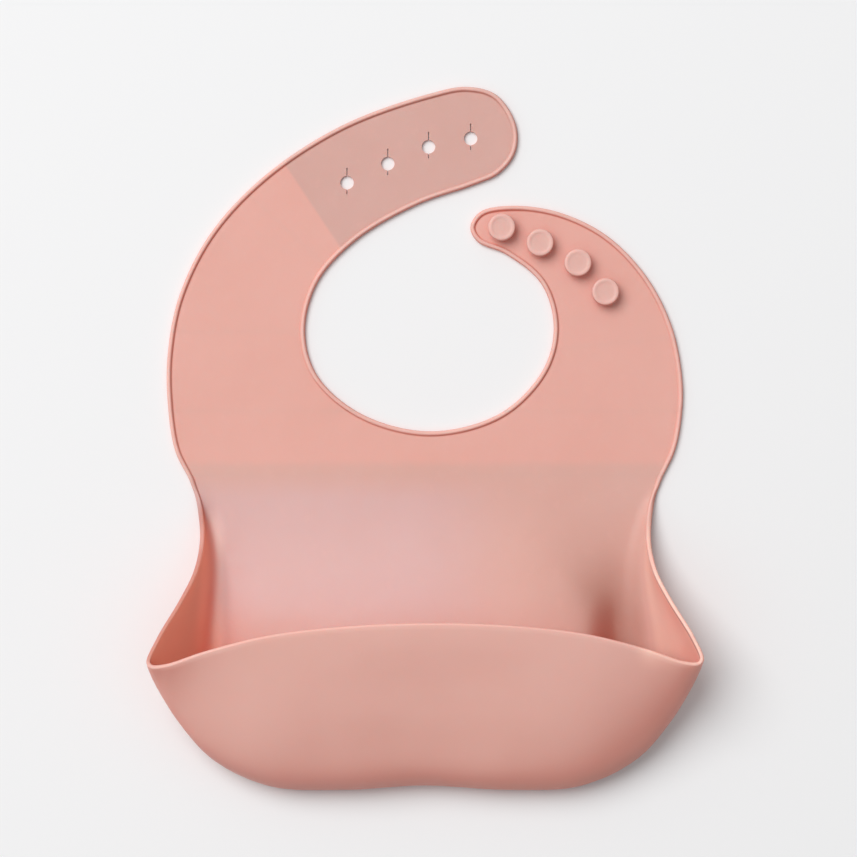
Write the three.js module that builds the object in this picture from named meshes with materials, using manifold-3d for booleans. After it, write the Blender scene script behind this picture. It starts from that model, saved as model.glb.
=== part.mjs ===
// Silicone baby bib with a scoop pocket, lying on its back.
// Millimetres, +Z up out of the bib's face, +Y from the pocket to the neck straps, +X to the
// right as the face is looked at. The origin is under the middle of the bib, on the table.
// The real bib is one soft moulding with four studs: each mesh here is one region of it, and the
// regions part along the lines where the silicone bends.
import * as THREE from 'three';
import Module from 'manifold-3d';
import { mergeVertices } from 'three/addons/utils/BufferGeometryUtils.js';

const wasm = await Module();
wasm.setup();

// ---- driving dimensions -------------------------------------------------------------------------
const SHEET = 1.5;             // wall of the sheet and of the pocket
const BEAD_WIDTH = 2.0;        // the rolled bead that runs round the free edge
const BEAD_HEIGHT = 2.6;       // top of the bead above the table
const GAP = 0.3;               // clear space kept between neighbouring regions
const CUT_HEIGHT = 20;         // the cutting slabs reach well above and below the sheet
const CUT_FROM = -5;
const CUT_REACH = 400;         // and well past the bib's outline
const EDGE_STEPS = 5;          // straight pieces between two points of a drawn curve

const HOLE_RADIUS = 2.9;       // button holes in the long strap
const HOLE_SIDES = 24;
const SLIT_WIDTH = 0.5;        // the cut that lets a stud head spread the hole
const SLIT_ABOVE = 6.4;        // how far it runs from the hole's middle towards the edge
const SLIT_BELOW = 5.0;

const STUD_STEM_RADIUS = 2.5;
const STUD_HEAD_RADIUS = 5.9;
const STUD_HEAD_FOOT = 4.2;    // underside of the head above the table
const STUD_TOP = 7.8;
const STUD_ROUND = 0.9;        // rounding of the head's rim
const STUD_DISH_RADIUS = 4.3;  // shallow dish in the top of the head
const STUD_DISH_DEPTH = 0.22;
const STUD_SIDES = 20;

// ---- drawn curves -------------------------------------------------------------------------------
// Free edge of the flat sheet, from the left side of the waist up round the long strap, back
// round the neck, over the short strap and down to the right side of the waist.
const FREE_EDGE = [
  [-101.6, -16.9], [-107.6, -5], [-110.7, 15], [-110.8, 36], [-106, 61], [-92.5, 88.1],
  [-69.3, 112.9], [-36, 134.6], [2, 148.4], [18, 151.3], [30.5, 147.8], [38.9, 135],
  [38.6, 123], [31.5, 113.9], [20, 108.8], [-3, 100.8], [-29.8, 85.3], [-46.3, 67.3],
  [-51.7, 46.5], [-46.7, 27.6], [-27.8, 10.9], [2, 3.3], [32.1, 11], [50.3, 29.4],
  [55.1, 48], [49.8, 66.6], [34.6, 79.3], [22.5, 84.6], [19.2, 91], [23.5, 97.6],
  [37, 100.2], [57, 97.5], [77.7, 87.5], [94.8, 70], [106, 48], [110.5, 24],
  [109.9, 8], [107.1, -5.5], [101.6, -16.9],
];

// The pocket is a loft. Each row is one station, from the left side of the waist round to the
// middle of the lip: where the wall leaves the flat panel, how far it runs out along the table,
// where it stands up again, and the rim. Four points draw the wall's profile as a cubic curve.
const POCKET_STATIONS = [
  { foot: [-94, -17.5], run: [-97, -17.5], rise: [-99.5, -17.5, 0], rim: [-101.5, -17.5, 0] },
  { foot: [-92.4, -22], run: [-96, -22], rise: [-98.5, -22, 0.1], rim: [-100, -22, 0.4] },
  { foot: [-90, -30], run: [-94, -30.2], rise: [-96.5, -30.4, 1.5], rim: [-97.9, -30.4, 3.8] },
  { foot: [-86, -44], run: [-92, -44], rise: [-95.4, -43.6, 4], rim: [-96.4, -43, 10.5] },
  { foot: [-84.2, -58], run: [-92.5, -58], rise: [-97, -57, 8], rim: [-98.3, -55.5, 18.5] },
  { foot: [-84, -72], run: [-94, -72], rise: [-101.2, -70, 11], rim: [-103.9, -67.6, 27] },
  { foot: [-84, -86], run: [-96, -88], rise: [-109, -88, 15], rim: [-112.5, -82.4, 35] },
  { foot: [-83, -98], run: [-98.5, -106], rise: [-116, -103, 16], rim: [-116.5, -92.4, 38] },
  { foot: [-80, -107], run: [-98.4, -118.8], rise: [-116, -111.7, 16], rim: [-114.6, -94.6, 38.8] },
  { foot: [-74, -115.5], run: [-96.6, -132.6], rise: [-112, -126, 16], rim: [-108, -94, 39.7] },
  { foot: [-65, -122.5], run: [-90.2, -149.3], rise: [-101.6, -141.9, 18], rim: [-92, -88.4, 41.5] },
  { foot: [-50, -128], run: [-68.4, -161.4], rise: [-75.6, -158, 22], rim: [-66, -81.6, 43.2] },
  { foot: [-27, -131], run: [-37, -161.9], rise: [-39, -161.5, 25], rim: [-34, -77.8, 44.4] },
  { foot: [0, -132], run: [0, -158.8], rise: [0, -158.8, 26], rim: [0, -76.6, 45] },
];
const LAST_STATION = 2 * (POCKET_STATIONS.length - 1);
const CORNER_STATION = 11;     // where the side gusset meets the front wall
const FOLD_HEIGHT = 0.4;       // share of the profile below the pocket's fold line
const CORNER_HALF_GAP = 0.04;  // half a gap, counted in stations
const FOLD_HALF_GAP = 0.002;   // half a gap, as a share of the profile
const GUSSET_STEPS = { along: 32, up: 8 };
const FRONT_STEPS = { along: 24, up: 6 };
const TROUGH_STEPS = { along: 24, up: 4 };

// Lines across which the sheet bends: a point on the line and the way the far part lies from it.
const YOKE_BEND = { at: [0, -10], towards: [0, 1] };
const LEFT_ARM_BEND = { at: [-80, 30], towards: [0, 1] };
const RIGHT_ARM_BEND = { at: [80, 30], towards: [0, 1] };
const LONG_STRAP_BEND = { at: [-72, 78], towards: [0.5, 0.866] };
const HOLE_END_BEND = { at: [-49.5, 101.7], towards: [0.83, 0.555] };
const STUD_END_BEND = { at: [79.5, 52], towards: [-0.2, 0.98] };

// The open space that keeps the two straps apart.
const LONG_STRAP_SIDE = [[-130, 20], [-10, 20], [-10, 92], [8, 104.5], [60, 104.5], [60, 170],
  [-130, 170]];
const SHORT_STRAP_SIDE = [[10, 20], [130, 20], [130, 103.5], [12, 103.5]];

const HOLES = [[-33.7, 110.1], [-16.2, 118.3], [1.3, 125.5], [19.4, 129.1]];
const STUDS = [[32.7, 90.6], [49.1, 84], [65.3, 75.4], [77.1, 63]];

// ---- materials ----------------------------------------------------------------------------------
const SILICONE = { color: 0xe8b0a3, roughness: 0.6, metalness: 0 };
const PALE_SILICONE = { color: 0xdcaba1, roughness: 0.65, metalness: 0 };

// ---- helpers ------------------------------------------------------------------------------------
const bib = new THREE.Group();

function addRegion(name, geometry, look) {
  const mesh = new THREE.Mesh(geometry, new THREE.MeshStandardMaterial(look));
  mesh.name = name;
  bib.add(mesh);
  return mesh;
}

function toSolid(geometry) {
  const bare = geometry.clone();
  bare.deleteAttribute('normal');
  bare.deleteAttribute('uv');
  const merged = mergeVertices(bare, 1e-4);
  return new wasm.Manifold(new wasm.Mesh({
    numProp: 3,
    vertProperties: new Float32Array(merged.attributes.position.array),
    triVerts: new Uint32Array(merged.index.array),
  }));
}

function toGeometry(solid) {
  const mesh = solid.getMesh();
  const geometry = new THREE.BufferGeometry();
  geometry.setAttribute('position', new THREE.BufferAttribute(mesh.vertProperties, 3));
  geometry.setIndex(new THREE.BufferAttribute(mesh.triVerts, 1));
  return geometry;
}

// A smooth open curve through hand-drawn points, as a list of THREE.Vector2.
function smoothLine(points, steps) {
  const curve = new THREE.CatmullRomCurve3(points.map(([x, y]) => new THREE.Vector3(x, y, 0)));
  return curve.getPoints(steps * (points.length - 1)).map((p) => new THREE.Vector2(p.x, p.y));
}

// The same line moved sideways, to the right of the way it runs.
function offsetLine(line, distance) {
  return line.map((point, i) => {
    const before = line[Math.max(i - 1, 0)];
    const after = line[Math.min(i + 1, line.length - 1)];
    const along = after.clone().sub(before).normalize();
    return new THREE.Vector2(point.x + along.y * distance, point.y - along.x * distance);
  });
}

function slab(outline, height, from = 0) {
  const points = outline.map((p) => (Array.isArray(p) ? new THREE.Vector2(...p) : p));
  const geometry = new THREE.ExtrudeGeometry(new THREE.Shape(points),
    { depth: height, bevelEnabled: false });
  return toSolid(geometry.translate(0, 0, from));
}

// Everything on the far side of a bend line, or on the near side, held half a gap away from it.
function beyond(bend, side) {
  const [dx, dy] = bend.towards.map((d) => d * side);
  const start = [bend.at[0] + dx * GAP / 2, bend.at[1] + dy * GAP / 2];
  const corner = (across, away) =>
    [start[0] + dy * across + dx * away, start[1] - dx * across + dy * away];
  const outline = [corner(-CUT_REACH, 0), corner(-CUT_REACH, CUT_REACH),
    corner(CUT_REACH, CUT_REACH), corner(CUT_REACH, 0)];
  return slab(outline, CUT_HEIGHT, CUT_FROM);
}
const farSideOf = (bend) => beyond(bend, 1);
const nearSideOf = (bend) => beyond(bend, -1);

// ---- the flat sheet with its bead ---------------------------------------------------------------
const mirrored = ([x, y, z = 0]) => [-x, y, z];

function stationCurve(key) {
  const left = POCKET_STATIONS.map((station) => station[key]);
  const all = [...left, ...left.slice(0, -1).reverse().map(mirrored)];
  return new THREE.CatmullRomCurve3(all.map(([x, y, z = 0]) => new THREE.Vector3(x, y, z)));
}

const footCurve = stationCurve('foot');
const runCurve = stationCurve('run');
const riseCurve = stationCurve('rise');
const rimCurve = stationCurve('rim');

function makeFlatSheet() {
  const edge = smoothLine(FREE_EDGE, EDGE_STEPS);
  const foot = footCurve.getPoints(LAST_STATION * 3).map((p) => new THREE.Vector2(p.x, p.y));
  const footInside = offsetLine(foot, -GAP).reverse();
  const [firstOnEdge] = FREE_EDGE;
  footInside[0].y = firstOnEdge[1];
  footInside[footInside.length - 1].y = firstOnEdge[1];
  const sheet = slab([...edge, ...footInside], SHEET);
  const bead = slab([...edge, ...offsetLine(edge, BEAD_WIDTH).reverse()], BEAD_HEIGHT);
  return sheet.add(bead);
}

function makeButtonHole([x, y]) {
  const round = new THREE.CylinderGeometry(HOLE_RADIUS, HOLE_RADIUS, 4 * SHEET, HOLE_SIDES);
  round.rotateX(Math.PI / 2).translate(x, y, SHEET / 2);
  const length = SLIT_ABOVE + SLIT_BELOW;
  const slit = new THREE.BoxGeometry(SLIT_WIDTH, length, 4 * SHEET);
  slit.translate(x, y + (SLIT_ABOVE - SLIT_BELOW) / 2, SHEET / 2);
  return toSolid(round).add(toSolid(slit));
}

const flatSheet = makeFlatSheet();
const longStrap = flatSheet.intersect(slab(LONG_STRAP_SIDE, CUT_HEIGHT, CUT_FROM))
  .intersect(farSideOf(LEFT_ARM_BEND));
const shortStrap = flatSheet.intersect(slab(SHORT_STRAP_SIDE, CUT_HEIGHT, CUT_FROM))
  .intersect(farSideOf(RIGHT_ARM_BEND));
const holeEnd = HOLES.reduce((strap, place) => strap.subtract(makeButtonHole(place)),
  longStrap.intersect(farSideOf(HOLE_END_BEND)));

addRegion('apron_panel', toGeometry(flatSheet.intersect(nearSideOf(YOKE_BEND))), PALE_SILICONE);
addRegion('yoke_panel', toGeometry(flatSheet.intersect(farSideOf(YOKE_BEND))
  .intersect(nearSideOf(LEFT_ARM_BEND))), SILICONE);
addRegion('hole_strap_root',
  toGeometry(longStrap.intersect(nearSideOf(LONG_STRAP_BEND))), SILICONE);
addRegion('hole_strap_middle', toGeometry(longStrap.intersect(farSideOf(LONG_STRAP_BEND))
  .intersect(nearSideOf(HOLE_END_BEND))), SILICONE);
addRegion('hole_strap_tip', toGeometry(holeEnd), PALE_SILICONE);
addRegion('button_strap_root',
  toGeometry(shortStrap.intersect(nearSideOf(STUD_END_BEND))), SILICONE);
addRegion('button_strap_tip',
  toGeometry(shortStrap.intersect(farSideOf(STUD_END_BEND))), SILICONE);

// ---- the four studs -----------------------------------------------------------------------------
function makeStud() {
  const rim = new THREE.Path();
  rim.moveTo(0, SHEET);
  rim.lineTo(STUD_STEM_RADIUS, SHEET);
  rim.lineTo(STUD_STEM_RADIUS, STUD_HEAD_FOOT);
  rim.lineTo(STUD_HEAD_RADIUS - STUD_ROUND, STUD_HEAD_FOOT);
  rim.absarc(STUD_HEAD_RADIUS - STUD_ROUND, STUD_HEAD_FOOT + STUD_ROUND, STUD_ROUND,
    -Math.PI / 2, 0);
  rim.absarc(STUD_HEAD_RADIUS - STUD_ROUND, STUD_TOP - STUD_ROUND, STUD_ROUND, 0, Math.PI / 2);
  rim.lineTo(STUD_DISH_RADIUS, STUD_TOP);
  rim.lineTo(STUD_DISH_RADIUS - STUD_DISH_DEPTH, STUD_TOP - STUD_DISH_DEPTH);
  rim.lineTo(0, STUD_TOP - STUD_DISH_DEPTH);
  const profile = rim.getPoints(3);
  return new THREE.LatheGeometry(profile, STUD_SIDES).rotateX(Math.PI / 2);
}

STUDS.forEach(([x, y], i) => {
  const stud = addRegion(`button_${i + 1}`, toGeometry(toSolid(makeStud())), PALE_SILICONE);
  stud.position.set(x, y, 0);
});

// ---- the scoop pocket ---------------------------------------------------------------------------
function pocketPoint(station, share) {
  const t = station / LAST_STATION;
  const points = [footCurve, runCurve, riseCurve, rimCurve].map((curve) => curve.getPoint(t));
  return new THREE.CubicBezierCurve3(...points).getPoint(share);
}

// The wall's inner side lies one sheet thickness in from the outer side.
function pocketInnerPoint(station, share) {
  const step = 0.02;
  const low = Math.max(station - step, 0);
  const high = Math.min(station + step, LAST_STATION);
  const along = pocketPoint(high, share).sub(pocketPoint(low, share));
  const up = pocketPoint(station, Math.min(share + step, 1))
    .sub(pocketPoint(station, Math.max(share - step, 0)));
  const inward = up.cross(along).normalize();
  return pocketPoint(station, share).addScaledVector(inward, SHEET);
}

// One region of the pocket wall, as a closed shell with an outer and an inner skin.
function pocketWall(stations, shares, steps) {
  const positions = [];
  const rows = steps.along + 1;
  const columns = steps.up + 1;
  const skins = [pocketPoint, pocketInnerPoint];
  for (const skin of skins) {
    for (let i = 0; i < rows; i += 1) {
      for (let j = 0; j < columns; j += 1) {
        const station = THREE.MathUtils.lerp(stations[0], stations[1], i / steps.along);
        const share = THREE.MathUtils.lerp(shares[0], shares[1], j / steps.up);
        positions.push(...skin(station, share).toArray());
      }
    }
  }
  const outer = (i, j) => i * columns + j;
  const inner = (i, j) => rows * columns + outer(i, j);
  const triangles = [];
  const quad = (a, b, c, d) => triangles.push(a, b, c, a, c, d);
  for (let i = 0; i < steps.along; i += 1) {
    for (let j = 0; j < steps.up; j += 1) {
      quad(outer(i, j), outer(i + 1, j), outer(i + 1, j + 1), outer(i, j + 1));
      quad(inner(i, j), inner(i, j + 1), inner(i + 1, j + 1), inner(i + 1, j));
    }
    quad(outer(i, 0), inner(i, 0), inner(i + 1, 0), outer(i + 1, 0));
    quad(outer(i, steps.up), outer(i + 1, steps.up), inner(i + 1, steps.up), inner(i, steps.up));
  }
  for (let j = 0; j < steps.up; j += 1) {
    quad(outer(0, j), outer(0, j + 1), inner(0, j + 1), inner(0, j));
    quad(outer(steps.along, j), inner(steps.along, j), inner(steps.along, j + 1),
      outer(steps.along, j + 1));
  }
  const geometry = new THREE.BufferGeometry();
  geometry.setAttribute('position', new THREE.Float32BufferAttribute(positions, 3));
  geometry.setIndex(triangles);
  return geometry;
}

const farCorner = LAST_STATION - CORNER_STATION;
addRegion('pocket_left_gusset',
  pocketWall([0, CORNER_STATION - CORNER_HALF_GAP], [0, 1], GUSSET_STEPS), SILICONE);
addRegion('pocket_right_gusset',
  pocketWall([farCorner + CORNER_HALF_GAP, LAST_STATION], [0, 1], GUSSET_STEPS), SILICONE);
addRegion('pocket_trough',
  pocketWall([CORNER_STATION, farCorner], [0, FOLD_HEIGHT - FOLD_HALF_GAP], TROUGH_STEPS), SILICONE);
addRegion('pocket_front_wall',
  pocketWall([CORNER_STATION, farCorner], [FOLD_HEIGHT + FOLD_HALF_GAP, 1], FRONT_STEPS), PALE_SILICONE);

export default bib;
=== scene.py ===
"""Looks for the silicone bib: one soft moulding, parted where the CAD bodies bend.

All shape numbers are millimetres in the CAD frame (+Z up out of the bib's face, +Y from the
pocket to the straps) and become metres when a piece is made.
"""
import math

import bmesh
import bpy
import numpy as np
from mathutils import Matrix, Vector
from mathutils.geometry import delaunay_2d_cdt


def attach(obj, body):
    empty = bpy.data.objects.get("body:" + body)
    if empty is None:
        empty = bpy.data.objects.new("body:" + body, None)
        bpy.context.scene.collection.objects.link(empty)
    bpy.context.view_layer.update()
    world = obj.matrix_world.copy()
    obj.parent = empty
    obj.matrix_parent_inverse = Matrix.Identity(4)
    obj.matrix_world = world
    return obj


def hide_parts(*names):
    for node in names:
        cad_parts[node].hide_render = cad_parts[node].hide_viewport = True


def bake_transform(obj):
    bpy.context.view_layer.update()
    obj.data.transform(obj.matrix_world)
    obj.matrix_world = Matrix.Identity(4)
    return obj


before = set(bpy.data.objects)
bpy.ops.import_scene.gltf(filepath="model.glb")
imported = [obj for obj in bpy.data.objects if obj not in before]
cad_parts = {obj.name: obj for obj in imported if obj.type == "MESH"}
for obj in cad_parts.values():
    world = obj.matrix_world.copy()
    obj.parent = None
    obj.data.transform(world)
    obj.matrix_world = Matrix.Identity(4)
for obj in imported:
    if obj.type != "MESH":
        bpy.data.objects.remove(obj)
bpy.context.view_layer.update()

MM = 0.001

# ---- driving dimensions -------------------------------------------------------------------------
SHEET = 1.5                 # wall of the sheet and the pocket
BEAD_TOP = 2.5              # crest of the edge bead above the table
EDGE_SPACING = 1.6          # columns along the free edge of the flat sheet
RIM_SPACING = 1.3           # columns along the rim of the pocket
WALL_ROWS = 24              # rows from the rim's bead down to the foot of the wall
GRID = 1.9                  # points inside the flat sheet
FINE_GRID = 1.1             # rows where the sheet folds
FINE_ROWS = (-16, 1)        # where those rows begin and end
CLEAR_OF_EDGE = 0.9         # no point of the grid lies closer than this to an outline
PROFILE_SAMPLES = 161       # for measuring down the pocket's wall
DOWN_SAMPLES = 3            # of these show which way the wall goes down from the rim
CURVE_SAMPLES = 60          # for measuring along a curve, between two of its points
SAME_POINT = 1e-6           # points of the flat sheet this close are one
WELD = 0.004                # and points of the whole moulding
ON_THE_CUT = 0.0001         # points this close to a cut lie on it
SHEET_SHARP = 48            # degrees; edges that turn more are shaded sharp

HOLE_RADIUS = 2.9
HOLE_SIDES = 40
SLIT_HALF_WIDTH = 0.22
SLIT_ABOVE = 6.4            # from the middle of the hole towards the strap's edge
SLIT_BELOW = 5.0

# How the soft moulding lies. A pair says where an effect begins and where it is whole or gone,
# along Y or up Z, or as a share of the apron's half width.
ARCH = 12.0                 # the apron stands this far off the table before the pocket
ARCH_FRONT = (-18, -92)
ARCH_EASE = 1.5             # power that starts the rise gently at the waist
ARCH_BACK = (-132, -108)
ARCH_WALLS = (4, 12)        # the walls are not lifted with it
ARCH_ROUNDING = 0.05        # softens the line where it comes down
FOOT_MARGIN = 1             # it comes down just inside the foot of the side walls
LEAST_HALF_WIDTH = 30
LEFT_FALL = 3.2             # power of its fall to the left side wall
LEFT_REACH = 8.0            # which it climbs a little way
RIGHT_FALL = 4              # power of the gentle part of its fall to the right
RIGHT_FALL_SHARE = 0.34
CREASE_DROP = 0.68          # the steep part, into the crease by the right side wall
CREASE_START = 0.81
CREASE_END = 1.02
CREASE_MOUTH = 0.45         # towards the waist the crease begins this far in
CREASE_NARROWS = (-38, -74)
RIPPLE = 0.22               # slow unevenness of the sheet
LONG_WAVE = (21, 17)
LONG_WAVE_STARTS = (0.7, 0.4)
SHORT_WAVE = (13, -29)
SHORT_WAVE_SHARE = 0.6

SAG = 2.4                   # the front wall sinks in a little at its middle
SAG_FRONT = (-80, -105)
SAG_BACK = (-150, -125)
SAG_UP = (8, 16)
SAG_ACROSS = (5, 75)
SHIFT = 0.3                 # the whole pocket has slumped a little to the left
SHIFT_ALONG = (-85, -105)
SHIFT_UP = (2, 10)
LEAN = 0.006                # and its rim lies a little askew
LEAN_HEIGHT = 40

# Painted shade and light inside the pocket, by place: painted shade in the crease and on the slope
# down to it, painted light in the corner behind the left side wall and on the inside of the right
# one.
CREASE_X = 78
CREASE_VEER = 5
VEER_ALONG = (-62, -84)
CREASE_DARK = 0.75
CREASE_ACROSS = (24, 0)
CREASE_ALONG = (-40, -76)
SLOPE_DARK = 0.27
SLOPE_ACROSS = (50, 5)
SLOPE_ALONG = (-12, -60)
DARK_UP = (12, 4)
CORNER_X = -92.5
CORNER_ACROSS = (9, 1)
CORNER_ALONG = (-24, -46)
CORNER_UP = (18, 8)
RIGHT_WALL_LIGHT = 0.6
RIGHT_WALL_ACROSS = (84, 94)
RIGHT_WALL_ALONG = (-20, -40)
RIGHT_WALL_UP = (2, 10)
LIGHT_ENDS = (-102, -88)

# Section through the free edge, from the underside round the bead to the face: how far in from
# the edge, and how high above the underside.
GROOVE_BOTTOM = 1.42
UNDER_EDGE = [(2.7, 0), (0.7, 0), (0.35, 0.12), (0.1, 0.45)]
OVER_EDGE = [(0, 0.9), (0.05, 1.5), (0.22, 2.0), (0.55, 2.36), (1, BEAD_TOP), (1.45, 2.42),
             (1.78, 2.15), (1.97, 1.8), (2.1, SHEET), (2.25, GROOVE_BOTTOM), (2.7, SHEET)]
SECTION = np.array(UNDER_EDGE + OVER_EDGE)

# Free edge of the flat sheet, from the left side of the waist up round the long strap, back
# round the neck, over the short strap and down to the right side of the waist.
FREE_EDGE = [
    (-101.5, -17.5), (-107.6, -5), (-110.7, 15), (-110.8, 36), (-106, 61), (-92.5, 88.1),
    (-69.3, 112.9), (-36, 134.6), (2, 148.4), (18, 151.3), (30.5, 147.8), (38.9, 135),
    (38.6, 123), (31.5, 113.9), (20, 108.8), (-3, 100.8), (-29.8, 85.3), (-46.3, 67.3),
    (-51.7, 46.5), (-46.7, 27.6), (-27.8, 10.9), (2, 3.3), (32.1, 11), (50.3, 29.4),
    (55.1, 48), (49.8, 66.6), (34.6, 79.3), (22.5, 84.6), (19.2, 91), (23.5, 97.6),
    (37, 100.2), (57, 97.5), (77.7, 87.5), (94.8, 70), (106, 48), (110.5, 24),
    (109.9, 8), (107.1, -5.5), (101.5, -17.5),
]

# The pocket is a loft. Each row is one station, from the left side of the waist round to the
# middle of the lip: where the wall leaves the flat sheet, how far it runs out along the table,
# where it stands up again, and the rim. Four points draw the wall's profile as a cubic curve.
POCKET = [
    ((-94, -17.5, 0), (-97, -17.5, 0), (-99.5, -17.5, 0), (-101.5, -17.5, 0)),
    ((-92.4, -22, 0), (-96, -22, 0), (-98.5, -22, 0.1), (-100, -22, 0.4)),
    ((-90, -30, 0), (-94, -30.2, 0), (-96.5, -30.4, 1.5), (-97.9, -30.4, 3.8)),
    ((-86, -44, 0), (-92, -44, 0), (-95.4, -43.6, 4), (-96.4, -43, 10.5)),
    ((-84.2, -58, 0), (-92.5, -58, 0), (-97, -57, 8), (-98.3, -55.5, 18.5)),
    ((-84, -72, 0), (-94, -72, 0), (-101.2, -70, 11), (-103.9, -67.6, 27)),
    ((-84, -86, 0), (-96, -88, 0), (-109, -88, 15), (-112.5, -82.4, 35)),
    ((-83, -98, 0), (-98.5, -106, 0), (-116, -103, 16), (-116.5, -92.4, 38)),
    ((-80, -107, 0), (-98.4, -118.8, 0), (-116, -111.7, 16), (-114.6, -94.6, 38.8)),
    ((-74, -115.5, 0), (-96.6, -132.6, 0), (-112, -126, 16), (-108, -94, 39.7)),
    ((-65, -122.5, 0), (-90.2, -149.3, 0), (-101.6, -141.9, 18), (-92, -88.4, 41.5)),
    ((-50, -128, 0), (-68.4, -161.4, 0), (-75.6, -158, 22), (-66, -81.6, 43.2)),
    ((-27, -131, 0), (-37, -161.9, 0), (-39, -161.5, 25), (-34, -77.8, 44.4)),
    ((0, -132, 0), (0, -158.8, 0), (0, -158.8, 26), (0, -76.6, 45)),
]

HOLES = [(-33.7, 110.1), (-16.2, 118.3), (1.3, 125.5), (19.4, 129.1)]
STUDS = [(32.7, 90.6), (49.1, 84), (65.3, 75.4), (77.1, 63)]


# ---- curves -------------------------------------------------------------------------------------
STEP = 0.01                 # for measuring a direction, as a share of a segment


def curve_at(points, places, before=None, after=None):
    """Points of the smooth curve through given points, at places counted in segments."""
    p = np.asarray(points, float)
    before = 2 * p[0] - p[1] if before is None else before
    after = 2 * p[-1] - p[-2] if after is None else after
    p = np.vstack([before, p, after])
    first = np.clip(np.floor(places).astype(int), 0, len(points) - 2)
    t = (places - first)[:, None]
    p0, p1, p2, p3 = (p[first + k] for k in range(4))
    d0, d1, d2 = (np.sqrt(np.linalg.norm(b - a, axis=1))[:, None]
                  for a, b in ((p0, p1), (p1, p2), (p2, p3)))
    slope1 = ((p1 - p0) / d0 - (p2 - p0) / (d0 + d1) + (p2 - p1) / d1) * d1
    slope2 = ((p2 - p1) / d1 - (p3 - p1) / (d1 + d2) + (p3 - p2) / d2) * d1
    return (p1 + slope1 * t + (3 * (p2 - p1) - 2 * slope1 - slope2) * t ** 2
            + (2 * (p1 - p2) + slope1 + slope2) * t ** 3)


def even_places(points, spacing, before=None, after=None):
    """Places along such a curve that are about one spacing apart."""
    last = len(points) - 1
    places = np.linspace(0, last, CURVE_SAMPLES * last + 1)
    xyz = curve_at(points, places, before, after)
    lengths = np.r_[0, np.cumsum(np.linalg.norm(np.diff(xyz, axis=0), axis=1))]
    count = round(lengths[-1] / spacing)
    return np.interp(np.linspace(0, lengths[-1], count + 1), lengths, places)


def way_along(points, places, before=None, after=None):
    """A short step along such a curve, forwards, at each place."""
    last = len(points) - 1
    ahead = curve_at(points, np.minimum(places + STEP, last), before, after)
    behind = curve_at(points, np.maximum(places - STEP, 0), before, after)
    return ahead - behind


def smoothstep(low, high, x):
    t = np.clip((x - low) / (high - low), 0, 1)
    return t * t * (3 - 2 * t)


def unit(v):
    return v / np.linalg.norm(v, axis=-1, keepdims=True)


# ---- the pocket's surface -----------------------------------------------------------------------
def both_sides(column):
    """One of the loft's four curves, with the right half mirrored from the left."""
    left = [np.array(row[column], float) for row in POCKET]
    return left + [p * (-1, 1, 1) for p in left[-2::-1]]


FOOT, RUN, RISE, RIM = (both_sides(column) for column in range(4))
EDGE_3D = [(x, y, 0) for x, y in FREE_EDGE]
RIM_ENDS = {"before": EDGE_3D[1], "after": EDGE_3D[-2]}
EDGE_ENDS = {"before": RIM[1], "after": RIM[-2]}


def wall_point(u, v):
    """Outer skin of the pocket at stations u and shares v of the profile, foot 0 and rim 1."""
    foot, run, rise = (curve_at(c, u) for c in (FOOT, RUN, RISE))
    rim = curve_at(RIM, u, **RIM_ENDS)
    v = v[:, None]
    w = 1 - v
    return foot * w ** 3 + 3 * run * w * w * v + 3 * rise * w * v * v + rim * v ** 3


def wall_normal(u, v):
    """Which way is in, towards the food, and up on the flat."""
    last = len(FOOT) - 1
    along = (wall_point(np.minimum(u + STEP, last), v)
             - wall_point(np.maximum(u - STEP, 0), v))
    up = wall_point(u, np.minimum(v + STEP, 1)) - wall_point(u, np.maximum(v - STEP, 0))
    return unit(np.cross(up, along))


# ---- the surface as vertices and faces ----------------------------------------------------------
class Skin:
    """Collects vertices and faces of the one closed moulding, in millimetres."""

    def __init__(self):
        self.points = []
        self.crest = []
        self.thin = []
        self.faces = []

    def add(self, points, crest, thin=0):
        start = sum(len(p) for p in self.points)
        self.points.append(np.asarray(points, float).reshape(-1, 3))
        self.crest.append(np.broadcast_to(crest, (len(self.points[-1]),)))
        self.thin.append(np.broadcast_to(thin, (len(self.points[-1]),)))
        return start

    def add_grid(self, grid, crest, thin=0):
        """Quads over a grid of points [column, row]."""
        columns, rows = grid.shape[:2]
        start = self.add(grid, np.broadcast_to(crest, (columns, rows)).ravel(),
                         np.broadcast_to(thin, (columns, rows)).ravel())
        for i in range(columns - 1):
            for j in range(rows - 1):
                a = start + i * rows + j
                self.faces.append((a, a + rows, a + rows + 1, a + 1))


# 1 on the crest of the bead, -1 in the groove beside it, 0 below and on the plain sheet.
CREST = np.interp(SECTION[:, 1], [GROOVE_BOTTOM, SHEET, BEAD_TOP], [-1, 0, 1])
CREST[:len(UNDER_EDGE) + 1] = 0

TURN_LENGTH = 12            # of free edge at the waist, where the sheet's rows turn


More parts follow.
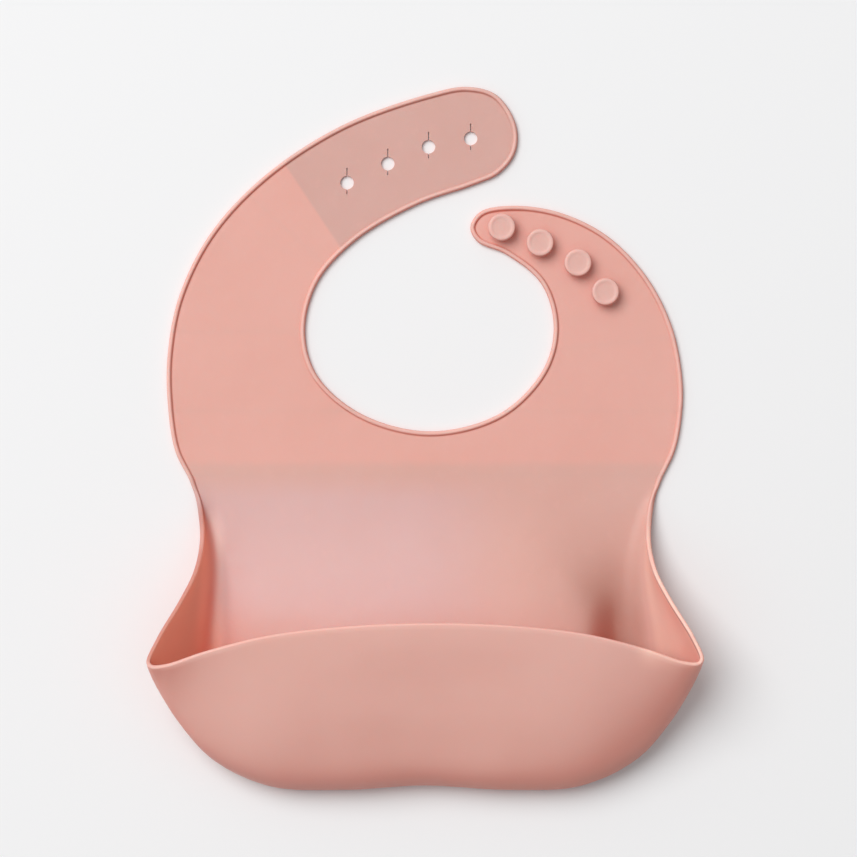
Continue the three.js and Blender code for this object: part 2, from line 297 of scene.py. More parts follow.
def flat_edge(skin):
    """The bead along the flat sheet. Returns the ring where the plain sheet begins."""
    places = even_places(EDGE_3D, EDGE_SPACING, **EDGE_ENDS)
    edge = curve_at(EDGE_3D, places, **EDGE_ENDS)
    along = unit(way_along(EDGE_3D, places, **EDGE_ENDS) * (1, 1, 0))
    inward = np.stack([along[:, 1], -along[:, 0], 0 * along[:, 0]], axis=1)
    # At the waist the rows turn to run straight across, as the pocket's first profile does.
    walked = np.r_[0, np.cumsum(np.linalg.norm(np.diff(edge, axis=0), axis=1))]
    for end, across in ((0, (1, 0, 0)), (-1, (-1, 0, 0))):
        turned = np.array(across) / (np.array(across) @ inward[end])
        share = 1 - smoothstep(0, TURN_LENGTH, np.abs(walked - walked[end]))
        inward = inward + (turned - inward[end]) * share[:, None]
    grid = edge[:, None, :] + inward[:, None, :] * SECTION[None, :, :1]
    grid[:, :, 2] = SECTION[None, :, 1]
    skin.add_grid(grid, CREST)
    return grid[:, -1, :2]


# How much of the bead's height is left on the pocket's rim, at these stations from the waist.
BEAD_STATIONS = [0, 3, 6, 9, 13]
BEAD_SHARES = [1, 0.6, 0.25, 0.3, 0.45]
FLAT_STATIONS = (0, 1.2)    # the wall still lies flat at its first station
THIN_STATIONS = (7.4, 6.6)  # the left side wall, which lets light through, ends here
THIN_UP = (0.5, 7)


def wall_depths(u, samples):
    """How far below the rim each sample of the profiles lies, measured square to the rim."""
    lines = np.stack([wall_point(u, np.full(len(u), v)) for v in samples], axis=1)
    down = unit(lines[:, DOWN_SAMPLES] - lines[:, 0])
    rim_way = unit(way_along(RIM, u, **RIM_ENDS))
    slant = np.sqrt(1 - np.sum(down * rim_way, axis=1) ** 2)
    lengths = np.cumsum(np.linalg.norm(np.diff(lines, axis=1), axis=2), axis=1)
    return np.concatenate([np.zeros((len(u), 1)), lengths], axis=1) * slant[:, None]


def pocket_wall(skin):
    """Both skins of the pocket and the bead on its rim. Returns the rows of the inner skin."""
    u = even_places(RIM, RIM_SPACING, **RIM_ENDS)
    samples = np.linspace(1, 0, PROFILE_SAMPLES)
    depths = wall_depths(u, samples)
    from_waist = np.minimum(u, len(RIM) - 1 - u)
    share = np.interp(from_waist, BEAD_STATIONS, BEAD_SHARES)
    flat = 1 - smoothstep(*FLAT_STATIONS, from_waist)

    def layer(v, height):
        normal = wall_normal(u, v)
        normal = unit(normal * (1 - flat[:, None]) + np.outer(flat, (0, 0, 1)))
        return wall_point(u, v) + normal * height[:, None]

    def at_depth(depth):
        return np.array([np.interp(depth, column, samples) for column in depths])

    first = at_depth(SECTION[-1, 0])
    rows = []
    for k in range(WALL_ROWS, 0, -1):
        rows.append(layer(first * (1 - k / WALL_ROWS), np.zeros(len(u))))
    for depth, height in SECTION:
        raised = SHEET + (height - SHEET) * share if height > SHEET else np.full(len(u), height)
        rows.append(layer(at_depth(depth), raised))
    for k in range(1, WALL_ROWS + 1):
        rows.append(layer(first * (1 - k / WALL_ROWS), np.full(len(u), SHEET)))
    grid = np.stack(rows, axis=1)
    crest = np.concatenate([np.zeros(WALL_ROWS), CREST, np.zeros(WALL_ROWS)])
    thin = smoothstep(*THIN_STATIONS, u)[:, None] * smoothstep(*THIN_UP, grid[:, :, 2])
    skin.add_grid(grid, crest, thin)
    return grid[:, WALL_ROWS + len(SECTION) - 1:, :2]


def hole_outline(x, y):
    """A round hole with a thin slit above and below it."""
    gap = math.asin(SLIT_HALF_WIDTH / HOLE_RADIUS)
    outline = []
    for middle, reach in ((math.pi / 2, SLIT_ABOVE), (-math.pi / 2, -SLIT_BELOW)):
        side = math.copysign(SLIT_HALF_WIDTH, reach)
        outline += [(x + side, y + reach), (x - side, y + reach)]
        for a in np.linspace(middle + gap, middle + math.pi - gap, HOLE_SIDES // 2):
            outline.append((x + HOLE_RADIUS * math.cos(a), y + HOLE_RADIUS * math.sin(a)))
    return np.array(outline)


def inside(points, outline):
    """Which points lie inside a closed outline."""
    x, y = points[:, 0], points[:, 1]
    result = np.zeros(len(points), bool)
    for (x1, y1), (x2, y2) in zip(outline, np.roll(outline, -1, axis=0)):
        if y1 == y2:
            continue
        crosses = (y1 > y) != (y2 > y)
        result ^= crosses & (x < x1 + (y - y1) * (x2 - x1) / (y2 - y1))
    return result


def distance_to(points, outline):
    """Distance from each point to the nearest point of an outline."""
    nearest = np.full(len(points), np.inf)
    for corner in outline:
        nearest = np.minimum(nearest, np.hypot(*(points - corner).T))
    return nearest


def on_sheet(points, outline, holes):
    """Which points lie inside the outline and outside every hole."""
    result = inside(points, outline)
    for hole in holes:
        result &= ~inside(points, hole)
    return result


def sheet_grid(outline, holes):
    """Points of a staggered grid over the sheet, finer where it folds, clear of every edge."""
    low, high = outline.min(axis=0), outline.max(axis=0)
    rows = np.r_[np.arange(low[1], FINE_ROWS[0], GRID), np.arange(*FINE_ROWS, FINE_GRID),
                 np.arange(FINE_ROWS[1], high[1], GRID)]
    grid = np.array([(x + GRID / 2 * (i % 2), y)
                     for i, y in enumerate(rows) for x in np.arange(low[0], high[0], GRID)])
    grid = grid[on_sheet(grid, outline, holes)]
    for loop in [outline] + holes:
        grid = grid[distance_to(grid, loop) > CLEAR_OF_EDGE]
    return grid


def flat_sheet(skin, ring, face_rows):
    """The plain sheet inside the bead, as two triangulated skins with the button holes through."""
    outline = np.vstack([ring[:-1], face_rows[-1], face_rows[-2:0:-1, -1], face_rows[0, ::-1]])
    outline = outline[:-1]
    holes = [hole_outline(*place) for place in HOLES]
    loops = [outline] + holes
    points = np.vstack(loops + [sheet_grid(outline, holes)])
    edges = []
    start = 0
    for loop in loops:
        count = len(loop)
        edges += [(start + i, start + (i + 1) % count) for i in range(count)]
        start += count
    flat = delaunay_2d_cdt([Vector(p) for p in points], edges, [], 0, SAME_POINT)
    corners = np.array([tuple(p) for p in flat[0]])
    triangles = np.array(flat[2])
    triangles = triangles[on_sheet(corners[triangles].mean(axis=1), outline, holes)]
    for height in (0, SHEET):
        start = skin.add(np.c_[corners, np.full(len(corners), height)], 0)
        skin.faces += [tuple(start + t) for t in triangles]
    for hole in holes:
        closed = np.vstack([hole, hole[:1]])
        wall = np.stack([np.c_[closed, np.full(len(closed), h)] for h in (0, SHEET)], axis=1)
        skin.add_grid(wall, 0)


def ripple(x, y):
    """Slow waves across the sheet."""
    long = (np.sin(x / LONG_WAVE[0] + LONG_WAVE_STARTS[0])
            * np.sin(y / LONG_WAVE[1] + LONG_WAVE_STARTS[1]))
    return long + SHORT_WAVE_SHARE * np.sin(x / SHORT_WAVE[0] + y / SHORT_WAVE[1])


def arch_lift(x, y, z):
    """How far the apron's arch lifts each point."""
    foot = np.array(FOOT[:len(POCKET)])
    half_width = np.interp(-y, -foot[:, 1], -foot[:, 0]) - FOOT_MARGIN
    half_width = np.maximum(half_width, LEAST_HALF_WIDTH)
    out = np.abs(x) / np.where(x < 0, half_width + LEFT_REACH, half_width)
    start = CREASE_MOUTH + (CREASE_START - CREASE_MOUTH) * smoothstep(*CREASE_NARROWS, y)
    drop = smoothstep(0, 1, (out - start) / (CREASE_END - start))
    right = RIGHT_FALL_SHARE * out ** RIGHT_FALL + CREASE_DROP * drop
    fall = 1 - np.where(x < 0, out ** LEFT_FALL, right)
    across = 0.5 * (fall + np.sqrt(fall ** 2 + ARCH_ROUNDING ** 2))
    lengthwise = smoothstep(*ARCH_FRONT, y) ** ARCH_EASE * smoothstep(*ARCH_BACK, y)
    low = 1 - smoothstep(*ARCH_WALLS, z)
    waves = RIPPLE * ripple(x, y) * np.clip(across, 0, 1)
    return np.maximum((ARCH * across + waves) * lengthwise * low, 0)


def settle(points):
    """Lays the moulding down: the apron arched, the pocket sagging and slumped a little."""
    x, y, z = points.T
    settled = points.copy()
    settled[:, 2] += arch_lift(x, y, z)
    sunk = smoothstep(*SAG_FRONT, y) * smoothstep(*SAG_BACK, y) * smoothstep(*SAG_UP, z)
    settled[:, 2] -= SAG * sunk * (1 - smoothstep(*SAG_ACROSS, np.abs(x)))
    settled[:, 0] -= SHIFT * smoothstep(*SHIFT_ALONG, y) * smoothstep(*SHIFT_UP, z)
    settled[:, 1] += LEAN * x * (z / LEAN_HEIGHT) ** 2
    return settled


def painted_fold_shading(points):
    """About 1: painted shade in the crease by the right wall; below 0: painted light inside."""
    x, y, z = points.T
    aside = np.abs(x - CREASE_X - CREASE_VEER * smoothstep(*VEER_ALONG, y))
    crease = CREASE_DARK * smoothstep(*CREASE_ACROSS, aside) * smoothstep(*CREASE_ALONG, y)
    slope = SLOPE_DARK * smoothstep(*SLOPE_ACROSS, aside) * smoothstep(*SLOPE_ALONG, y)
    dark = (crease + slope) * smoothstep(*DARK_UP, z)
    corner = (smoothstep(*CORNER_ACROSS, np.abs(x - CORNER_X)) * smoothstep(*CORNER_ALONG, y)
              * smoothstep(*CORNER_UP, z))
    right_wall = (smoothstep(*RIGHT_WALL_ACROSS, x) * smoothstep(*RIGHT_WALL_ALONG, y)
                  * smoothstep(*RIGHT_WALL_UP, z))
    bright = np.maximum(corner, RIGHT_WALL_LIGHT * right_wall) * smoothstep(*LIGHT_ENDS, y)
    return dark - bright


def make_moulding():
    """The whole bib as one closed bmesh, in metres."""
    skin = Skin()
    ring = flat_edge(skin)
    face_rows = pocket_wall(skin)
    flat_sheet(skin, ring, face_rows)
    flat_points = np.vstack(skin.points)
    # painted shade in the pocket's crease and painted light in its corners, for each point
    painted_shading_values = [painted_fold_shading(flat_points)]
    moulding = bmesh.new()
    for point in settle(flat_points) * MM:
        moulding.verts.new(point)
    for name, values in (("crest", skin.crest), ("thin", skin.thin), ("crease", painted_shading_values)):
        layer = moulding.verts.layers.float.new(name)
        for corner, value in zip(moulding.verts, np.concatenate(values)):
            corner[layer] = value
    corners = moulding.verts[:]
    for face in skin.faces:
        moulding.faces.new([corners[i] for i in face])
    bmesh.ops.remove_doubles(moulding, verts=moulding.verts[:], dist=WELD * MM)
    bmesh.ops.recalc_face_normals(moulding, faces=moulding.faces[:])
    return moulding


# ---- cutting the moulding into pieces -----------------------------------------------------------
def keep_side(mesh, at, normal):
    """Keeps the part that lies on the normal's side of a plane across the sheet, and caps it."""
    bmesh.ops.bisect_plane(
        mesh, geom=mesh.verts[:] + mesh.edges[:] + mesh.faces[:], dist=ON_THE_CUT * MM,
        plane_co=Vector((*at, 0)) * MM, plane_no=Vector((*normal, 0)), clear_inner=True)
    open_edges = [edge for edge in mesh.edges if edge.is_boundary]
    caps = bmesh.ops.holes_fill(mesh, edges=open_edges, sides=0)["faces"]
    bmesh.ops.triangulate(mesh, faces=caps)


def keep_island(mesh, place):
    """Keeps only the connected part nearest to a place."""
    target = Vector((*place, 0)) * MM
    first = min(mesh.verts, key=lambda v: (v.co - target).length)
    island = {first}
    waiting = [first]
    while waiting:
        for edge in waiting.pop().link_edges:
            for corner in edge.verts:
                if corner not in island:
                    island.add(corner)
                    waiting.append(corner)
    bmesh.ops.delete(mesh, geom=[v for v in mesh.verts if v not in island], context="VERTS")


def to_object(mesh, name, sharp_angle):
    """A smooth-shaded object that remembers where each point lay at rest."""
    data = bpy.data.meshes.new(name)
    mesh.to_mesh(data)
    mesh.free()
    data.shade_smooth()
    data.set_sharp_from_angle(angle=math.radians(sharp_angle))
    coordinates = np.empty(3 * len(data.vertices), np.float32)
    data.vertices.foreach_get("co", coordinates)
    rest = data.attributes.new("rest", "FLOAT_VECTOR", "POINT")
    rest.data.foreach_set("vector", coordinates)
    piece = bpy.data.objects.new(name, data)
    bpy.context.scene.collection.objects.link(piece)
    return piece


# Where the moulding is parted: a point on the cut, and the way the far part lies from it.
WAIST_CUT = ((0, -15.5), (0, 1))
ARM_CUT = ((0, 12), (0, 1))
LONG_MIDDLE_CUT = ((-80, 46), (0, 1))
LONG_TIP_CUT = ((-60, 90.3), (0.68, 0.733))
SHORT_TIP_CUT = ((80, 41), (-0.104, 0.9946))
LONG_STRAP = (-108, 40)
SHORT_STRAP = (108, 30)

# Each piece: its cuts (+1 keeps the far part), the strap it is on, the CAD nodes it stands for,
# the two bodies it bends between, where that bend starts and ends, and its material slot.
PIECES = {
    "bib_apron_and_pocket": dict(
        cuts=[(WAIST_CUT, -1)], strap=None,
        nodes=["apron_panel", "pocket_left_gusset", "pocket_right_gusset", "pocket_trough",
               "pocket_front_wall"],
        bodies=("apron", "pocket_front"), bend=((0, -147, 6), (0, -147, 38)),
        slot="silicone_pale"),
    "bib_yoke": dict(
        cuts=[(WAIST_CUT, 1), (ARM_CUT, -1)], strap=None, nodes=["yoke_panel"],
        bodies=("apron", "yoke"), bend=((0, -13.5, 0), (0, -1, 0)), slot="silicone"),
    "bib_long_strap_root": dict(
        cuts=[(ARM_CUT, 1), (LONG_MIDDLE_CUT, -1)], strap=LONG_STRAP, nodes=["hole_strap_root"],
        bodies=("yoke", "hole_strap_root"), bend=((-80, 20, 0), (-80, 42, 0)), slot="silicone"),
    "bib_long_strap_middle": dict(
        cuts=[(ARM_CUT, 1), (LONG_MIDDLE_CUT, 1), (LONG_TIP_CUT, -1)], strap=LONG_STRAP,
        nodes=["hole_strap_middle"], bodies=("hole_strap_root", "hole_strap_middle"),
        bend=((-76.5, 70.2, 0), (-67.5, 85.8, 0)), slot="silicone"),
    "bib_long_strap_tip": dict(
        cuts=[(ARM_CUT, 1), (LONG_TIP_CUT, 1)], strap=LONG_STRAP, nodes=["hole_strap_tip"],
        bodies=("hole_strap_middle", "hole_strap_tip"),
        bend=((-56.1, 97.3, 0), (-42.9, 106.1, 0)), slot="silicone_pale"),
    "bib_short_strap_root": dict(
        cuts=[(ARM_CUT, 1), (SHORT_TIP_CUT, -1)], strap=SHORT_STRAP,
        nodes=["button_strap_root"], bodies=("yoke", "button_strap_root"),
        bend=((80, 20, 0), (80, 38, 0)), slot="silicone"),
    "bib_short_strap_tip": dict(
        cuts=[(ARM_CUT, 1), (SHORT_TIP_CUT, 1)], strap=SHORT_STRAP,
        nodes=["button_strap_tip"], bodies=("button_strap_root", "button_strap_tip"),
        bend=((80.9, 45.1, 0), (78.1, 58.9, 0)), slot="silicone"),
}


def make_pieces():
    """The seven pieces of the moulding, each cut from its own copy."""
    moulding = make_moulding()
    pieces = {}
    for name, plan in PIECES.items():
        part = moulding.copy()
        for (at, way), side in plan["cuts"]:
            keep_side(part, at, (way[0] * side, way[1] * side))
            if (at, way) == ARM_CUT and side > 0:
                keep_island(part, plan["strap"])
        pieces[name] = to_object(part, name, SHEET_SHARP)
    moulding.free()
    return pieces


# ---- the studs ----------------------------------------------------------------------------------
STUD_SIDES = 56
STEM_RADIUS = 2.5
HEAD_RADIUS = 5.9
HEAD_FOOT = 4.2
HEAD_TOP = 7.8
HEAD_ROUND = 0.9
HEAD_RUBBED = 0.5           # down from the top
FILLET = 0.6
STUD_SHARP = 60             # degrees
# The shallow plain dish in the head: radius, and depth below the top.
DISH = [(4.45, 0), (4.2, 0.08), (3.85, 0.18), (3.4, 0.22), (2, 0.25), (0, 0.26)]


def arc(middle, radius, start, end, steps=5):
    """Points of an arc in the stud's section, angles in degrees."""
    angles = np.radians(np.linspace(start, end, steps + 1))
    return [(middle[0] + radius * math.cos(a), middle[1] + radius * math.sin(a)) for a in angles]


def stud_section():
    """Half section of a mushroom stud: fillet, stem, rounded head, shallow plain dish."""
    line = [(0, SHEET)]
    line += arc((STEM_RADIUS + FILLET, SHEET + FILLET), FILLET, 270, 180)
    line += arc((STEM_RADIUS + FILLET, HEAD_FOOT - FILLET), FILLET, 180, 90)
    line += arc((HEAD_RADIUS - HEAD_ROUND, HEAD_FOOT + HEAD_ROUND), HEAD_ROUND, -90, 0)
    line += arc((HEAD_RADIUS - HEAD_ROUND, HEAD_TOP - HEAD_ROUND), HEAD_ROUND, 0, 90)
    line += [(radius, HEAD_TOP - depth) for radius, depth in DISH]
    return line


def make_stud(name, x, y):
    """A stud turned about its own axis, with its foot on the face of the strap."""
    mesh = bmesh.new()
    crest = mesh.verts.layers.float.new("crest")
    rings = []
    for radius, z in stud_section():
        count = STUD_SIDES if radius else 1
        ring = []
        for k in range(count):
            angle = 2 * math.pi * k / count
            place = (x + radius * math.cos(angle), y + radius * math.sin(angle), z)
            corner = mesh.verts.new(Vector(place) * MM)
            corner[crest] = float(smoothstep(HEAD_TOP - HEAD_RUBBED, HEAD_TOP, z))
            ring.append(corner)
        rings.append(ring)
    for low, high in zip(rings, rings[1:]):
        for k in range(STUD_SIDES):
            corners = [low[k % len(low)], low[(k + 1) % len(low)],
                       high[(k + 1) % len(high)], high[k % len(high)]]
            mesh.faces.new(list(dict.fromkeys(corners)))
    bmesh.ops.recalc_face_normals(mesh, faces=mesh.faces[:])
    return to_object(mesh, name, STUD_SHARP)


# ---- materials ----------------------------------------------------------------------------------
PINK_TONE = (0.79, 0.415, 0.352)
APRON_TONE = (0.723, 0.415, 0.355)
PAINTED_SHEEN_TONE = (0.72, 0.448, 0.422)       # painted sheen: a soft highlight of the window on the apron's upper left
WALL_TONE = (0.83, 0.475, 0.41)         # the pocket's standing walls
STRAP_END_TONE = (0.674, 0.391, 0.34)
STUD_TONE = (0.74, 0.42, 0.365)
WORN_TONE = (0.82, 0.50, 0.44)          # where the surface is rubbed
THROUGH_TONE = (1.0, 0.62, 0.5)         # light that has come through a wall
PAPER_TONE = (0.88, 0.88, 0.885)

# These multiply the tone under them.
BLOTCH_TONE = (0.95, 0.89, 0.86)
GROOVE_SHADE_TONE = (0.95, 0.72, 0.66)        # painted shade in the groove beside the bead
RIM_SHADE_TONE = (0.86, 0.86, 0.86)           # painted shade on the pocket's bead, whose top faces the window
PAINTED_CREASE_SHADE_TONE = (0.68, 0.6, 0.56)         # painted shade in the crease by the right side wall
GATHERED_TONE = (1.34, 1.47, 1.42)      # where light gathers inside the side walls
HIDDEN_TONE = (1.08, 0.64, 0.54)        # hidden from the window, lit through silicone
TURNED_TONE = (0.9, 0.66, 0.62)         # on the sides turned from the window

# Lines between two tones: a point, the way to the far side, and how soft the line is.
APRON_LINE = ((0, -10.5), (0, -1), 2.4)
STRAP_END_LINE = ((-49.5, 101.7), (0.83, 0.555), 0.7)

# Where tones change by place, in metres, with the bib at rest.
PAINTED_SHEEN_ACROSS = (-0.005, 0.045)
PAINTED_SHEEN_BEGINS_ALONG = (-0.028, -0.013)
PAINTED_SHEEN_FADES_ALONG = (-0.085, -0.066)
PAINTED_SHEEN_REMAINS = 0.4                     # share of the painted sheen on the pocket's side of that
STANDING_UP = (0.012, 0.022)            # height from which the walls have their own tone
RIGHT_SIDE_ACROSS = (0.075, 0.09)

# Noise scales are waves to the metre, and heights are metres. A range says where on the noise
# an effect begins and is whole.
BLOTCH_SCALE = 22
BLOTCH_RANGE = (0.35, 0.75)
BLOTCH_SHARE = 0.35
MOTTLE_SCALE = 170
MOTTLE_RANGE = (0.5, 0.8)
MOTTLE_SHARE = 0.16
BEAD_WORN_RANGE = (0.3, 0.65)
BEAD_WORN_SHARES = (0.45, 0.8)
GROOVE_SHADE_SHARE = 0.5
RIM_CREST = (0, 0.6)
SWELL_SCALE = 75
SWELL_HEIGHT = 0.0006
SWELL_STRENGTH = 0.35
GRAIN_SCALE = 2600
GRAIN_HEIGHT = 0.00004
GRAIN_STRENGTH = 0.25
ROUGH_RANGE = (0.25, 0.75)
ROUGHNESS = (0.5, 0.64)
CREST_SMOOTHER = 0.06                   # roughness that rubbing takes off the crest

TO_WINDOW = (-0.4, 0.38, 0.835)
HIDING_REACH = 0.05                     # metres; what stands farther off hides nothing
HIDING_SAMPLES = 8
HIDDEN_RANGE = (0.6, 0.15)              # share of the sky on the window's side that is seen
HIDDEN_ON_RIGHT = 0.3                   # what is left of that effect at the right side
TURNED_RANGE = (0.75, 0.35)             # cosine of the angle to the window
GLOW = 0.56                             # share of light that passes a skin of the left side wall


class Nodes:
    """Short names for building a node tree."""

    def __init__(self, tree):
        self.tree = tree

    def new(self, kind, inputs=None, **settings):
        node = self.tree.nodes.new(kind)
        for key, value in settings.items():
            setattr(node, key, value)
        for key, value in (inputs or {}).items():
            self.set(node.inputs[key], value)
        return node

    def set(self, socket, value):
        if isinstance(value, bpy.types.NodeSocket):
            self.tree.links.new(value, socket)
        else:
            socket.default_value = value

    def noise(self, place, scale, detail=2.0, roughness=0.5):
        node = self.new("ShaderNodeTexNoise", {
            "Vector": place, "Scale": scale, "Detail": detail, "Roughness": roughness})
        return node.outputs["Fac"]

    def ramp(self, value, low, high, to_low=0.0, to_high=1.0):
        node = self.new("ShaderNodeMapRange", {
            "Value": value, "From Min": low, "From Max": high, "To Min": to_low,
            "To Max": to_high}, interpolation_type="SMOOTHSTEP")
        return node.outputs["Result"]

    def math(self, operation, a, b):
        node = self.new("ShaderNodeMath", operation=operation)
        self.set(node.inputs[0], a)
        self.set(node.inputs[1], b)
        return node.outputs["Value"]

    def mix(self, share, a, b, blend="MIX"):
        node = self.new("ShaderNodeMix", data_type="RGBA", blend_type=blend)
        colours = [socket for socket in node.inputs if socket.type == "RGBA"]
        self.set(node.inputs["Factor"], share)
        self.set(colours[0], a)
        self.set(colours[1], b)
        return next(socket for socket in node.outputs if socket.type == "RGBA")


def rgba(colour):
    return (*colour, 1.0)


class Moulded(Nodes):
    """A silicone material's tree, with what it reads from the piece."""

    def __init__(self, tree):
        super().__init__(tree)
        self.rest = self.attribute("rest", "Vector")
        self.crest = self.attribute("crest")
        self.crease = self.attribute("crease")
        self.sideways, self.lengthways, self.height = self.new(
            "ShaderNodeSeparateXYZ", {"Vector": self.rest}).outputs
        self.mottle = self.noise(self.rest, MOTTLE_SCALE, detail=4, roughness=0.6)

    def attribute(self, name, output="Fac"):
        return self.new("ShaderNodeAttribute", attribute_name=name).outputs[output]

    def tint(self, share, tone, by):
        return self.mix(share, tone, rgba(by), "MULTIPLY")


def apron_regions(n, tone):
    """A painted sheen, a soft highlight, on the apron's upper left, and the tone of the standing
    walls.
    """
    # painted highlight: the sheen lies below the waist and fades to the right
    across = n.ramp(n.sideways, *PAINTED_SHEEN_ACROSS, 1, 0)
    along = n.math("MULTIPLY", n.ramp(n.lengthways, *PAINTED_SHEEN_BEGINS_ALONG, 1, 0),
                   n.ramp(n.lengthways, *PAINTED_SHEEN_FADES_ALONG, PAINTED_SHEEN_REMAINS, 1))
    tone = n.mix(n.math("MULTIPLY", across, along), tone, rgba(PAINTED_SHEEN_TONE))
    return n.mix(n.ramp(n.height, *STANDING_UP), tone, rgba(WALL_TONE))


def beyond_line(n, tone, second, line):
    """A second tone on the far side of a soft line across the sheet."""
    at, way, softness = line
    offset = n.new("ShaderNodeVectorMath", {0: n.rest, 1: (at[0] * MM, at[1] * MM, 0)},
                   operation="SUBTRACT").outputs["Vector"]
    distance = n.new("ShaderNodeVectorMath", {0: offset, 1: (*way, 0)},
                     operation="DOT_PRODUCT").outputs["Value"]
    return n.mix(n.ramp(distance, -softness * MM, softness * MM), tone, second)


def wear_and_painted_shade(n, tone):
    """Blotches, rubbed spots and beads, with painted shade in the groove beside a bead and on the
    pocket's bead.
    """
    blotches = n.noise(n.rest, BLOTCH_SCALE, detail=3)
    blotched = n.tint(1.0, tone, BLOTCH_TONE)
    tone = n.mix(n.ramp(blotches, *BLOTCH_RANGE, 0, BLOTCH_SHARE), tone, blotched)
    tone = n.mix(n.ramp(n.mottle, *MOTTLE_RANGE, 0, MOTTLE_SHARE), tone, rgba(WORN_TONE))
    worn = n.math("MULTIPLY", n.ramp(n.crest, 0, 1),
                  n.ramp(n.mottle, *BEAD_WORN_RANGE, *BEAD_WORN_SHARES))
    tone = n.mix(worn, tone, rgba(WORN_TONE))
    # painted shade in the groove beside each bead
    tone = n.tint(n.ramp(n.crest, 0, -1, 0, GROOVE_SHADE_SHARE), tone, GROOVE_SHADE_TONE)
    # painted shade on the crest of the pocket's bead
    on_rim = n.math("MULTIPLY", n.ramp(n.crest, *RIM_CREST), n.ramp(n.height, *STANDING_UP))
    return n.tint(on_rim, tone, RIM_SHADE_TONE)


def light_in_folds(n, tone):
    """How the light between soft walls changes the tone: darker, lighter or redder."""
    # painted shade in the crease, then painted light in the corners inside the side walls
    tone = n.tint(n.math("MAXIMUM", n.crease, 0), tone, PAINTED_CREASE_SHADE_TONE)
    gathered = n.math("MULTIPLY", n.ramp(n.crease, 0, -1), n.ramp(n.crest, 0, 1, 1, 0))
    tone = n.tint(gathered, tone, GATHERED_TONE)
    window = n.new("ShaderNodeCombineXYZ", dict(zip("XYZ", TO_WINDOW))).outputs[0]
    seen = n.new("ShaderNodeAmbientOcclusion", {"Distance": HIDING_REACH, "Normal": window},
                 samples=HIDING_SAMPLES).outputs["AO"]
    hidden = n.math("MULTIPLY", n.ramp(seen, *HIDDEN_RANGE),
                    n.ramp(n.sideways, *RIGHT_SIDE_ACROSS, 1, HIDDEN_ON_RIGHT))
    tone = n.tint(hidden, tone, HIDDEN_TONE)
    normal = n.new("ShaderNodeNewGeometry").outputs["Normal"]
    facing = n.new("ShaderNodeVectorMath", {0: normal, 1: window},
                   operation="DOT_PRODUCT").outputs["Value"]
    return n.tint(n.ramp(facing, *TURNED_RANGE), tone, TURNED_TONE)


def soft_surface(n, tone, glow):
    """The matt skin, and the light that comes through it where it is thin."""
    rough = n.ramp(n.mottle, *ROUGH_RANGE, *ROUGHNESS)
    rough = n.math("SUBTRACT", rough, n.math("MULTIPLY", n.crest, CREST_SMOOTHER))
    waves = n.new("ShaderNodeBump", {
        "Strength": SWELL_STRENGTH, "Distance": SWELL_HEIGHT,
        "Height": n.noise(n.rest, SWELL_SCALE, detail=1)})
    normal = n.new("ShaderNodeBump", {
        "Strength": GRAIN_STRENGTH, "Distance": GRAIN_HEIGHT,
        "Height": n.noise(n.rest, GRAIN_SCALE, detail=2), "Normal": waves.outputs[0]}).outputs[0]
    skin = n.new("ShaderNodeBsdfPrincipled", {
        "Base Color": tone, "Roughness": rough, "Normal": normal,
        "Subsurface Weight": 0.3, "Subsurface Scale": 0.0012, "Subsurface Radius": (1, 0.35, 0.25),
        "Specular IOR Level": 0.5, "Sheen Weight": 0.08, "Sheen Roughness": 0.5, "IOR": 1.42})
    if not glow:
        return skin.outputs[0]
    through = n.new("ShaderNodeBsdfTranslucent", {
        "Color": rgba(THROUGH_TONE), "Normal": normal}).outputs[0]
    share = n.math("MULTIPLY", n.attribute("thin"), glow)
    return n.new("ShaderNodeMixShader", {0: share, 1: skin.outputs[0], 2: through}).outputs[0]


def silicone(name, colour, second=None, line=None, regions=False, glow=0.0):
    """Matt moulded silicone, with a second tone beyond a line where one is given."""
    material = bpy.data.materials.new(name)
    material.use_nodes = True
    tree = material.node_tree
    tree.nodes.clear()
    n = Moulded(tree)
    tone = rgba(colour)
    if second:
        second = rgba(second)
        if regions:
            second = apron_regions(n, second)
        tone = beyond_line(n, tone, second, line)
    tone = light_in_folds(n, wear_and_painted_shade(n, tone))
    output = n.new("ShaderNodeOutputMaterial")
    tree.links.new(soft_surface(n, tone, glow), output.inputs["Surface"])
    return material


def paper(name, colour):
    """The studio's plain pale floor."""
    material = bpy.data.materials.new(name)
    material.use_nodes = True
    shader = material.node_tree.nodes["Principled BSDF"]
    shader.inputs["Base Color"].default_value = rgba(colour)
    shader.inputs["Roughness"].default_value = 0.9
    shader.inputs["Specular IOR Level"].default_value = 0.1
    return material


# ---- the bib ------------------------------------------------------------------------------------
pink = silicone("silicone_pink", PINK_TONE)
waist = silicone("silicone_waist", PINK_TONE, APRON_TONE, APRON_LINE, regions=True, glow=GLOW)
strap_end = silicone("silicone_strap_end", PINK_TONE, STRAP_END_TONE, STRAP_END_LINE)
stud_look = silicone("silicone_stud", STUD_TONE)
LOOKS = {"bib_apron_and_pocket": waist, "bib_yoke": waist, "bib_long_strap_tip": strap_end}

for name, piece in make_pieces().items():
    plan = PIECES[name]
    piece.data.materials.append(LOOKS.get(name, pink))
    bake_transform(piece)
    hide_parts(*plan["nodes"])

for number, (x, y) in enumerate(STUDS, start=1):
    stud = make_stud(f"bib_stud_{number}", x, y)
    stud.data.materials.append(stud_look)
    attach(stud, "button_strap_tip")
    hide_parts(f"button_{number}")

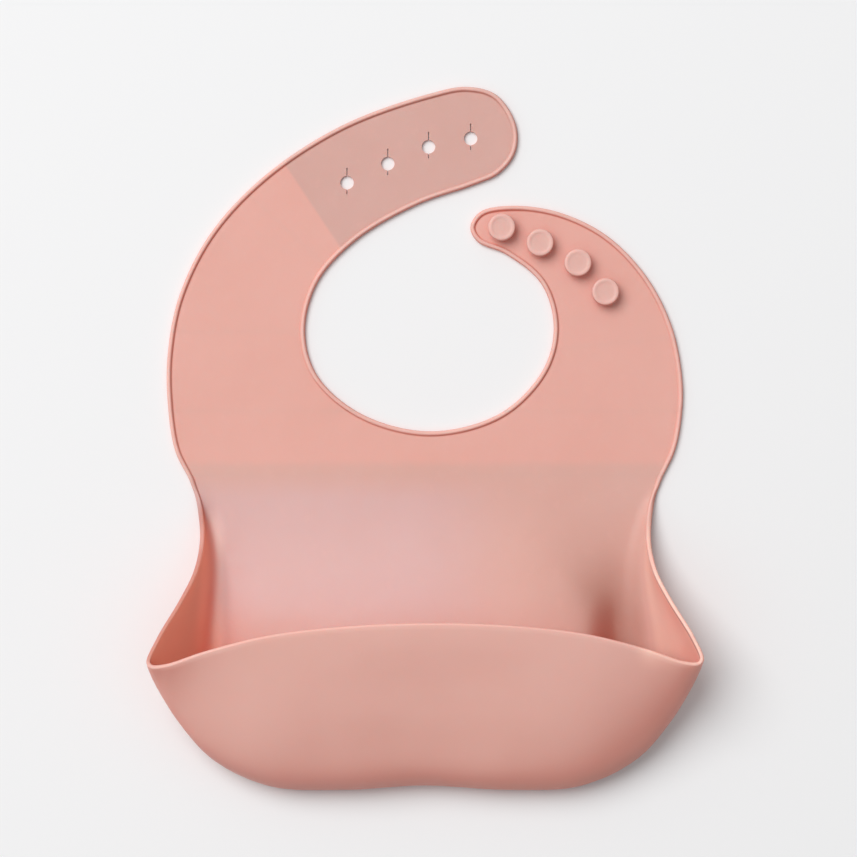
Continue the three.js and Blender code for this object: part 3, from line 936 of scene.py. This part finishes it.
# ---- studio -------------------------------------------------------------------------------------
FLOOR_SIZE = 6.0
FLOOR_DROP = 0.00004
KEY_PLACE = (-1.75, 1.7, 3.7)
KEY_SIZE = 3.4
KEY_POWER = 146
SKY_SIDE = (-0.72, 0.4, 0.57)       # the brighter side of the room
SKY_RANGE = (-0.9, 1.0)
SKY_STRENGTH = (0.16, 0.57)
CAMERA_PLACE = (0.0013, 0.0045, 1.3)
CAMERA_LENS = 127
CAMERA_SENSOR = 36


def add_floor():
    half = FLOOR_SIZE / 2
    data = bpy.data.meshes.new("studio_floor")
    data.from_pydata([(-half, -half, 0), (half, -half, 0), (half, half, 0), (-half, half, 0)],
                     [], [(0, 1, 2, 3)])
    data.materials.append(paper("studio_paper", PAPER_TONE))
    floor = bpy.data.objects.new("studio_floor", data)
    floor.location.z = -FLOOR_DROP
    bpy.context.scene.collection.objects.link(floor)


def add_key_light():
    """A large window, up on the left and beyond the straps."""
    data = bpy.data.lights.new("key", "AREA")
    data.shape = "DISK"
    data.size = KEY_SIZE
    data.energy = KEY_POWER
    key = bpy.data.objects.new("key", data)
    key.location = KEY_PLACE
    key.rotation_euler = (-Vector(KEY_PLACE)).to_track_quat("-Z", "Y").to_euler()
    bpy.context.scene.collection.objects.link(key)


def add_sky():
    """Soft light from all round, brighter on the window's side."""
    world = bpy.data.worlds.new("studio_light")
    world.use_nodes = True
    background = world.node_tree.nodes["Background"]
    background.inputs["Color"].default_value = (1, 1, 1, 1)
    sky = Nodes(world.node_tree)
    way = sky.new("ShaderNodeTexCoord").outputs["Generated"]
    towards = sky.new("ShaderNodeVectorMath", {0: way, 1: SKY_SIDE},
                      operation="DOT_PRODUCT").outputs["Value"]
    sky.set(background.inputs["Strength"], sky.ramp(towards, *SKY_RANGE, *SKY_STRENGTH))
    bpy.context.scene.world = world


def add_camera():
    """The photograph is taken from straight above."""
    data = bpy.data.cameras.new("camera")
    data.sensor_width = CAMERA_SENSOR
    data.lens = CAMERA_LENS
    camera = bpy.data.objects.new("camera", data)
    camera.location = CAMERA_PLACE
    bpy.context.scene.collection.objects.link(camera)
    bpy.context.scene.camera = camera


add_floor()
add_key_light()
add_sky()
add_camera()
bpy.context.scene.view_settings.view_transform = "Standard"
